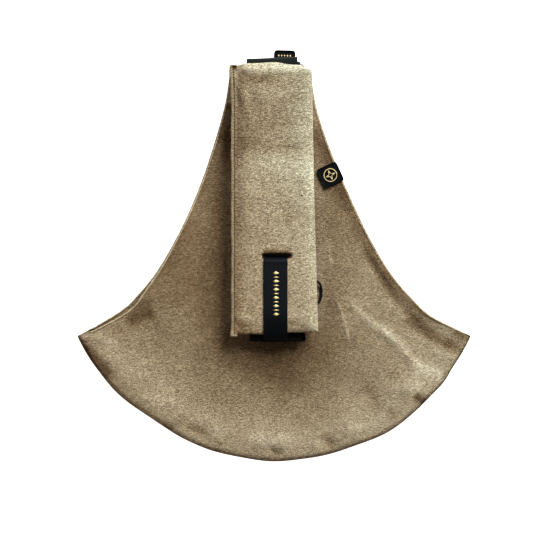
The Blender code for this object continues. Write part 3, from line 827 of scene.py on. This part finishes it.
def puff_sleeve(obj, rows, columns):
    """Inflates the sleeve's upper side with a cloth simulation, held at its seam and its ends."""
    rest = np.array([v.co for v in obj.data.vertices])
    row, ring = np.divmod(np.arange(len(rest)), 2 * columns - 1)
    held = (ring <= 0) | (ring >= columns + 3) | (row <= 0) | (row >= len(rows) - 1)
    obj.vertex_groups.new(name="held").add(np.flatnonzero(held).tolist(), 1.0, "REPLACE")
    cloth = obj.modifiers.new("cloth", "CLOTH")
    for setting, value in (("quality", 6), ("mass", 0.25), ("tension_stiffness", 18.0),
                           ("compression_stiffness", 18.0), ("bending_stiffness", 0.6),
                           ("use_pressure", True), ("uniform_pressure_force", 3.5),
                           ("vertex_group_mass", "held")):
        setattr(cloth.settings, setting, value)
    cloth.settings.effector_weights.gravity = 0.0
    scene = bpy.context.scene
    for step in range(1, 21):
        scene.frame_set(step)
    graph = bpy.context.evaluated_depsgraph_get()
    moved = np.array([v.co for v in obj.evaluated_get(graph).data.vertices])
    obj.modifiers.remove(cloth)
    scene.frame_set(1)
    shift = moved - rest
    most = 3.2 * MM
    return rest + unit_rows(shift) * (most * np.tanh(np.linalg.norm(shift, axis=1) / most))[:, None]


# Soft dents and swellings of the sleeve's top: place (x, y), size (x, y) and height in millimetres.
SLEEVE_DENTS = (
    ((-14, 174), (15, 5), -1.2), ((8, 184), (20, 4), 0.7), ((-24, 186), (8, 5), 0.6),
    ((-8, 160), (18, 6), 0.3), ((-22, 112), (12, 5), -0.5), ((22, 121), (14, 7), 0.6),
    ((20, 113), (18, 2.6), 0.5), ((20, 107), (18, 2.6), -0.5), ((-8, 128), (20, 3), -0.4),
    ((6, 92), (26, 8), 0.7), ((22, 82), (18, 6), 0.6), ((-26, 76), (10, 14), 0.4),
    ((10, 36), (16, 7), -0.5), ((-12, 18), (14, 7), -0.4), ((-4, 50), (24, 5), -0.3),
    ((-30, -61), (9, 2.4), 0.9), ((-30, -69), (8, 3.4), -1.3),
    ((28, -58), (10, 5), 0.5), ((20, -67), (9, 3), -0.8), ((38, -68), (5, 6), 0.5), ((24, 6), (9, 7), 0.3),
)


def shape_sleeve(shape, on_top):
    """Adds dents, the keeper's slit and uneven ends to the sleeve's points, and returns its tone: painted
    highlight and painted shade.
    """
    x, y, z = shape.T           # views, so the changes below go into shape
    dents = sum(height * patch(x, y, place, size) for place, size, height in SLEEVE_DENTS)
    off_middle = (x - (SLIT_LEFT + SLIT_RIGHT) / 2) / ((SLIT_RIGHT - SLIT_LEFT) / 2)
    in_slit = 1 - ease(0.84, 1.08, -off_middle) - ease(0.60, 1.12, off_middle)
    away = y - SLIT_Y
    slit = in_slit * (1.0 * bell(away, 4.2, 2.0) - 4.8 * bell(away, -0.3, 1.9, 4))
    z += on_top * (dents + slit) * MM

    wave = np.sin(x / 0.0115 + 0.6) + 0.6 * np.sin(x / 0.006 + 2.0)
    upper_end, lower_end = bell(SLEEVE_HIGH.y - y, 0, 7), bell(y - SLEEVE_LOW.y, 0, 6)
    corners = 5.0 * ease(0.024, 0.038, x) + 3.0 * ease(-0.026, -0.040, x)
    shorter = corners + 2.2 * ease(0.000, 0.018, x) + 1.0
    raised = 0.8 + 2.1 * ease(0.004, 0.014, x)
    y += ((0.4 * wave - shorter) * upper_end + (raised - 0.3 * wave) * lower_end) * MM

    # Painted highlight on the lit top end, the right side and a band near y = 88 mm; painted shade on the
    # upper part, beside the seam and along the lower edge.
    tone = 0.05 + 0.34 * bell(SLEEVE_HIGH.y - y, 0, 10, 4) - 0.17 * ease(0.06, 0.12, y)
    tone += 0.10 * ease(0.010, 0.034, x) * ease(0.04, 0.08, y)
    tone += 0.10 * bell(y, 88, 14) - 0.15 * bell(x, -35, 6) - 0.20 * bell(SLEEVE_LOW.y - y, 0, 5)
    # Painted shade inside the keeper's slit and just above it.
    away = y - SLIT_Y
    tone -= in_slit * (2.4 * bell(away, 0.1, 2.4, 4) + 0.50 * bell(away, 3.8, 3.0))
    # Painted shade in the dents and painted highlight on the swellings.
    return tone + 0.22 * sum(height * patch(x, y, place, size) for place, size, height in SLEEVE_DENTS)


def make_sleeve(fabric):
    columns = 34
    count = 2 * columns - 1
    rows = sleeve_rows()
    shape, uv = make_sleeve_tube(rows, columns)
    sleeve = add_mesh("sleeve_padding", shape, grid_faces(len(rows), count, flip=True), uv)
    shape = puff_sleeve(sleeve, rows, columns)
    set_tone(sleeve, shape_sleeve(shape, np.arange(len(shape)) % count < columns))
    sleeve.data.vertices.foreach_set("co", shape.ravel())
    sleeve.data.update()
    smooth = sleeve.modifiers.new("finer", "SUBSURF")
    smooth.levels = smooth.render_levels = 1
    wall = sleeve.modifiers.new("wall", "SOLIDIFY")
    wall.thickness = 1.1 * MM
    wall.offset = -1.0
    finish(sleeve, "strap", fabric, ["sleeve_cover"])
    return sleeve


def make_pad(fluff):
    """The wadding inside the sleeve, a little smaller than the sleeve all round."""
    x, y = np.meshgrid(np.linspace(-31 * MM, 34 * MM, 40),
                       np.linspace(SLEEVE_HIGH.y - 16 * MM, SLEEVE_LOW.y + 8 * MM, 90))
    low = 19.7 * MM
    top = np.minimum(sleeve_top_z(x, y[:, :1]) - 2.8 * MM, 24.8 * MM) - 2.2 * MM * bell(y - SLIT_Y, 0, 7)
    top = np.maximum(top, low + 0.6 * MM)
    pad = cloth_slab("foam_pad_fill", x, y, top, np.minimum(top - low, 5 * MM))
    finish(pad, "strap", fluff, ["foam_pad"])


def height_reader(obj):
    """Returns a function that gives the top surface's height over a point."""
    graph = bpy.context.evaluated_depsgraph_get()
    tree = BVHTree.FromObject(obj, graph)
    inverse = obj.matrix_world.inverted()

    def read(x, y, fallback=0.027):
        hit = tree.ray_cast(inverse @ Vector((x, y, 0.2)), Vector((0.0, 0.0, -1.0)))
        return (obj.matrix_world @ hit[0]).z if hit[0] else fallback
    return read


def flange_wave(y):
    return 0.3 * MM * np.sin(y / 0.009)


def make_seam_flange(fabric, thread, overlock):
    """Sewn edge left of the sleeve: a flat flange, its row of stitches and the overlocked edge."""
    columns = 9
    y = np.linspace(SLEEVE_LOW.y - 0.8 * MM, SLEEVE_HIGH.y - 4.2 * MM, 150)
    across = np.linspace(0, 1, columns)
    wobble = 0.25 * np.sin(y / 0.0043) + 0.2 * np.sin(y / 0.011 + 1.0)
    flare = 1.5 * bell(y - SLEEVE_LOW.y, 0, 7) + 1.7 * ease(0.150, 0.190, y)
    outer = (-41.9 + wobble - flare) * MM
    x = outer[:, None] + (-37.6 * MM - outer[:, None]) * across[None, :]
    off_seam = x - stitch_x(y)[:, None]
    z = FLANGE_Z + flange_wave(y)[:, None] - (0.6 * bell(off_seam, 0, 0.7) + 0.3 * (1 - across[None, :])) * MM
    flange = cloth_slab("sleeve_seam_flange", x, np.repeat(y[:, None], columns, 1), z, 2.0 * MM)
    # Painted shade in the stitch groove and on the curled top end of the flange; the rest a little lighter.
    curl_shade = 0.8 * ease(SLEEVE_HIGH.y - 9 * MM, SLEEVE_HIGH.y - 5 * MM, y)[:, None]
    set_tone(flange, 0.12 - 0.26 * bell(off_seam, 0, 0.8) - curl_shade)
    finish(flange, "strap", fabric)

    runs = []
    stitch = 2.6 * MM
    t = np.linspace(0, 1, 5)
    for start in np.arange(SLEEVE_LOW.y + 2 * MM, SLEEVE_HIGH.y - 6 * MM, stitch):
        z_run = FLANGE_Z + (0.05 + 0.3 * np.sin(math.pi * t)) * MM + flange_wave(start)
        runs.append(np.stack([stitch_x(start) + (0.5 - t) * 0.7 * MM, start + t * stitch * 0.60, z_run], -1))
    finish(tubes("sleeve_seam_stitches", runs, 0.58 * MM), "strap", thread)

    runs = []
    loop = np.array([(2.3, 0.0, 0.10), (0.8, 0.5, 0.15), (-0.6, 0.7, -0.6), (-0.6, 0.9, -1.7)]) * MM
    for start in np.arange(SLEEVE_LOW.y, SLEEVE_HIGH.y - 5 * MM, 1.7 * MM):
        runs.append(loop + (np.interp(start, y, outer), start, FLANGE_Z + flange_wave(start)))
    finish(tubes("sleeve_overlock_thread", runs, 0.30 * MM), "strap", overlock)


# ---- webbing and ribbon

def make_strap_webbing(material):
    """From behind the neck down through the sleeve, round its end and back up to the ring."""
    inner_z, return_z = 18.6, 12.9          # this path is in millimetres
    turn = (inner_z - return_z) / 2
    fold_y = (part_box("strap_webbing")[0].y + WEBBING / 2) / MM + turn
    ring_y, ring_z = RING_BAR.y / MM, RING_BAR.z / MM
    path = [(-2.5, 188, inner_z + 0.7), (-2.0, 165, inner_z), (-0.5, 60, inner_z), (0.6, -60, inner_z),
            (1.0, fold_y, inner_z)]
    path += arc(3.3, fold_y, inner_z - turn, turn, range(120, 241, 30), lean=1 / 28)
    path += [(5.6, fold_y, return_z), (3.4, -68, return_z), (0.8, -56, return_z), (0.2, -44, return_z),
             (0, 20, return_z), (0, 90, return_z), (0, 150, return_z), (0, 168, return_z + 0.5),
             (0, ring_y - 6, ring_z + RING_TURN / MM - 0.4)]
    path += arc(0, ring_y, ring_z, RING_TURN / MM, (90, 60, 30, 0, -30, -60, -85))
    strap = tape("strap_webbing_run", np.array(path) * MM, WEBBING_WIDTH, WEBBING)
    # Painted shade on the webbing where it folds round the sleeve's lower end.
    set_tone(strap, [-0.25 * (v.co.y < -0.076) for v in strap.data.vertices])
    finish(strap, "strap", material, ["strap_webbing"])


def make_tail(material):
    """From the ring down to the slider, round its middle bar and a little way back."""
    low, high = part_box("strap_slider")
    bar_y = (low.y + high.y) / 2
    bar_z = low.z + 1.9 * MM
    tail_z = RING_BAR.z - RING_TURN
    radius = tail_z - bar_z
    path = [(0, y, tail_z) for y in (RING_BAR.y - 0.4 * MM, bar_y + 0.060, bar_y + 0.030, bar_y + 0.006)]
    path += arc(0, bar_y, bar_z, radius, range(90, 271, 30))
    path += [(0, bar_y + 0.007, bar_z - radius), (0, bar_y + 0.014, bar_z - radius + 0.1 * MM)]
    tail = tape("tail_webbing_run", path, 50.0 * MM, WEBBING, start_u=0.11)
    finish(tail, None, material, ["tail_webbing"])
    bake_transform(tail)


def make_top_wrap(material):
    """Webbing from the back neck over the top edge into the sleeve, in two lengths."""
    x, z = -2.5 * MM, 2.9 * MM
    slant = 0.040
    meet = (x, 186.6 * MM, z + 0.15 * MM)
    lower = [(x, 150 * MM, z), (x, 172 * MM, z), meet]
    piece = tape("rear_webbing_wrap", lower, WEBBING_WIDTH, WEBBING, slant=slant)
    finish(piece, None, material, ["rear_webbing_end"])
    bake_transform(piece)
    upper = [meet] + [(x, up * MM, high * MM) for up, high in (
        (191.6, 4.4), (195.4, 8.5), (196.2, 13.6), (194.2, 17.9), (188.0, 19.3))]
    piece = tape("top_webbing_wrap", upper, WEBBING_WIDTH, WEBBING, start_u=0.037, slant=slant)
    # Painted shade: this length is a touch darker than the rest of the webbing.
    set_tone(piece, -0.04)
    finish(piece, None, material)
    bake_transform(piece)


def make_keeper(material, gold, sleeve_height):
    """Ribbon out of the sleeve's slit, over the sleeve and round its lower end."""
    x = 0.9 * MM
    rows = [(3.6, 24.2), (0.2, 24.4), (-1.6, 26.2)]
    rows += [(y, sleeve_height(x, y * MM) / MM + 0.75) for y in (-4.5, -9, -16, -26, -38, -50, -62, -71)]
    rows += [(-77.5, 26.6), (-81.6, 23.8), (-84.3, 20.0), (-85.0, 15.8), (-83.4, 12.2), (-79.0, 11.5),
             (-54.0, 11.5)]
    path = [(x, y * MM, z * MM) for y, z in rows]
    ribbon = tape("keeper_ribbon", path, 23.6 * MM, RIBBON, 0.9 * MM, across=13)
    # Painted shade on the ribbon from the sleeve's lower end round its fold.
    set_tone(ribbon, [-0.45 * ease(-0.050, -0.078, v.co.y) for v in ribbon.data.vertices])
    finish(ribbon, "strap", material, ["keeper_band"])

    ribbon_height = height_reader(ribbon)
    lozenges = []
    for row in range(11):
        y = (-17 - 4.05 * row) * MM
        half_x, half_y = ((3.5, 2.0), (3.4, 0.8))[row % 2]
        lozenges.append((x + 0.4 * MM, y, ribbon_height(x, y) + 0.12 * MM, half_x * MM, half_y * MM))
    finish(make_lozenges("keeper_print", lozenges), "strap", gold)


def make_lozenges(name, lozenges):
    """Low four-sided pyramids, each given by its centre and its half width and half height."""
    points, faces = [], []
    for x, y, z, half_x, half_y in lozenges:
        base = len(points)
        for dx, dy in ((-half_x, 0), (0, -half_y), (half_x, 0), (0, half_y)):
            points.append((x + dx, y + dy, z - 0.1 * MM))
        points.append((x, y, z + 0.12 * MM))
        faces += [(base + k, base + (k + 1) % 4, base + 4) for k in range(4)]
        faces.append((base + 3, base + 2, base + 1, base))
    return add_mesh(name, points, faces)


# ---- labels, cuff and small pieces

def rosette(name, centre, radius, turn, height, gold, body):
    """A plain ring round a four-pointed star, as the labels' woven motif."""
    def at(angle, share):
        return np.array([centre[0] + radius * share * math.cos(angle),
                         centre[1] + radius * share * math.sin(angle), height])

    runs = [[at(angle, 1.0) for angle in np.linspace(0, 2 * math.pi, 25)]]
    t = np.linspace(0, 1, 4)[:, None]
    for k in range(4):
        angle = turn + math.pi / 2 * k
        tip = at(angle, 0.78)
        side, other = at(angle + math.pi / 4, 0.22), at(angle - math.pi / 4, 0.22)
        runs += [start + (end - start) * t for start, end in ((side, tip), (tip, other))]
    finish(tubes(name, runs, 0.36 * MM), body, gold)


def label_slab(name, centre, width, length, turn, z_low, z_high, bulge):
    across = np.linspace(-0.5, 0.5, 15)
    u, v = np.meshgrid(across, across)
    corner = 1 - 0.05 * (np.abs(2 * u)**8 * np.abs(2 * v)**8)
    x = centre[0] + corner * (u * width * math.cos(turn) - v * length * math.sin(turn))
    y = centre[1] + corner * (u * width * math.sin(turn) + v * length * math.cos(turn))
    top = z_high + bulge * (1 - (2 * u)**2) * (1 - (2 * v)**2)
    return cloth_slab(name, x, y, top, z_high - z_low)


def make_labels(weave, gold):
    low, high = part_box("side_label")
    centre = ((low.x + high.x) / 2, (low.y + high.y) / 2)
    turn = math.radians(25.0)
    painted_light_strip = 1.4 * MM             # the label lies on the panel's puffed cloth
    low, high = low.z + painted_light_strip, high.z + painted_light_strip
    label = label_slab("side_label_patch", centre, 20.6 * MM, 19.9 * MM, turn, low, high, 0.3 * MM)
    finish(label, "front_flap", weave, ["side_label"])
    rosette("side_label_motif", centre, 6.4 * MM, turn, high + 0.35 * MM, gold, "front_flap")

    centre = (10.0 * MM, 192.2 * MM)
    low, high = [corner.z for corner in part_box("top_label")]
    label = label_slab("top_label_fold", centre, 20.0 * MM, 25.6 * MM, math.radians(-1.5), low, high, 0.0)
    finish(label, "root", weave, ["top_label"])
    lozenges = [(centre[0] + k * 2.9 * MM, (200.0 - k * 0.08) * MM, high + 0.02 * MM, 1.4 * MM, 1.9 * MM)
                for k in range(-2, 3)]
    finish(make_lozenges("top_label_motif", lozenges), "root", gold)


def make_cuff(fabric):
    """Fabric patch over the ring's anchor, across the front neck."""
    columns = 60
    low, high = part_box("front_neck_cuff")
    y = np.linspace(low.y, 175 * MM, 18)[:, None]
    x = neck_shift(y) + (half_width(y) - 6.5 * MM) * np.linspace(-1, 1, columns)
    over_anchor = 1 - ease(0.026, 0.036, np.abs(x))
    low_top = FRONT_TOP + 1.7 * MM
    top = low_top + (high.z - low_top) * over_anchor
    cuff = cloth_slab("neck_cuff_patch", x, np.repeat(y, columns, 1), top, 1.3 * MM)
    finish(cuff, "front_flap", fabric, ["front_neck_cuff"])


def make_elastic(material):
    """Thin round elastic that loops out of the sleeve's right edge and back in."""
    radius = 1.1 * MM
    rest_z = (FRONT_TOP + 0.3 * MM + radius) / MM
    high_z = (SLEEVE_LOW.z - 0.3 * MM - radius) / MM
    turns = ((34.0, -23.5, high_z), (40.0, -24.2, 12.8), (45.2, -28.0, 8.8), (46.8, -36.3, rest_z),
             (45.2, -44.6, 8.8), (40.0, -48.4, 12.8), (34.0, -49.1, high_z))
    line, marks = resample(np.array(turns) * MM, 1.5 * MM)
    curve = bpy.data.curves.new("elastic_cord", "CURVE")
    for setting, value in (("dimensions", "3D"), ("bevel_depth", radius), ("bevel_resolution", 3),
                           ("use_fill_caps", True)):
        setattr(curve, setting, value)
    spline = curve.splines.new("POLY")
    spline.points.add(len(line) - 1)
    for point, place in zip(spline.points, line):
        point.co = (*place, 1.0)
    obj = add_object("elastic_cord", curve)
    finish(obj, "strap", material, ["elastic_loop"])


def dress(node, material):
    """Gives a CAD node that is shown as it is its material."""
    obj = frame["nodes"][node]
    for slot in obj.material_slots:
        slot.material = material
    if not obj.material_slots:
        obj.data.materials.append(material)


def build():
    make_camera()
    make_elastic(thread_material("elastic_braid", (0.002, 0.002, 0.002), (0.008, 0.008, 0.008)))
    make_stage()
    # The panel linen is a darker copy of the sleeve's linen, as painted shade on the lower-lying panels; the
    # hem linen is a lighter copy, as painted highlight on the hems.
    panel_linen = linen("panel_linen", lightness=0.84, contrast=2.4, warm=(-0.0015, 0.0, 0.28))
    sleeve_linen = linen("sleeve_linen", lightness=0.98, contrast=3.0, warm=(-0.012, -0.0035, 0.0))
    hem_linen = linen("hem_linen", from_uv=False, lightness=1.2, contrast=1.8)
    webbing = ribbed_material(
        "webbing_weave", (0.0035, 0.0045, 0.0037), (0.020, 0.025, 0.021),
        (("Y", 1.3, 0.10), ("X", 1.7, 0.08)), (2.0, 0.7, 1.0), 0.5 * MM, 0.75, sheen=0.03, specular=0.08)
    ribbon = ribbed_material(
        "ribbon_satin", (0.0030, 0.0038, 0.0052), (0.0115, 0.0140, 0.0180),
        (("Y", 0.7, 0.06),), (0.5, 2.5, 1.0), 0.12 * MM, 0.50, specular=0.11)
    gold = label_weave("gold_thread", (0.55, 0.43, 0.19), (0.83, 0.72, 0.42), from_uv=False)
    label = label_weave("label_damask", (0.0010, 0.0014, 0.0026), (0.0035, 0.0045, 0.0075))
    anchor = label_weave("anchor_weave", (0.006, 0.007, 0.006), (0.03, 0.034, 0.03), from_uv=False)
    brown_thread = thread_material("seam_thread", (0.060, 0.030, 0.010), (0.165, 0.090, 0.035))
    cream_thread = thread_material("overlock_thread", (0.36, 0.29, 0.19), (0.58, 0.50, 0.37))
    wadding = plain_material(
        "foam_wadding", (0.42, 0.41, 0.38), (0.66, 0.65, 0.61),
        ((1.2, 1.2, 1.2), 4.0, 0.7), 0.8 * MM, 1.0, sheen=0.3)
    wire = plain_material(
        "ring_steel", (0.34, 0.33, 0.31), (0.58, 0.57, 0.55),
        ((0.4, 4.0, 4.0), 3.0), 0.05 * MM, 0.28, metallic=1.0, specular=0.5)
    plastic = plain_material(
        "slider_plastic", (0.010, 0.010, 0.011), (0.022, 0.022, 0.023),
        ((3.0, 3.0, 3.0), 2.0), 0.08 * MM, 0.42, specular=0.5)
    satin = plain_material(
        "care_tape", (0.70, 0.70, 0.68), (0.82, 0.82, 0.80),
        ((0.6, 3.0, 1.0), 2.0), 0.1 * MM, 0.55, sheen=0.1, specular=0.4)

    make_pouch(panel_linen, hem_linen)
    make_seam_binding(label_weave("seam_tape", (0.10, 0.08, 0.05), (0.25, 0.20, 0.14)))
    make_cuff(panel_linen)
    sleeve = make_sleeve(sleeve_linen)
    make_pad(wadding)
    make_seam_flange(sleeve_linen, brown_thread, cream_thread)
    make_strap_webbing(webbing)
    make_tail(webbing)
    make_top_wrap(webbing)
    make_keeper(ribbon, gold, height_reader(sleeve))
    make_labels(label, gold)
    for node, material in (("neck_ring", wire), ("strap_slider", plastic), ("care_label", satin),
                           ("ring_anchor_webbing", anchor)):
        dress(node, material)


build()
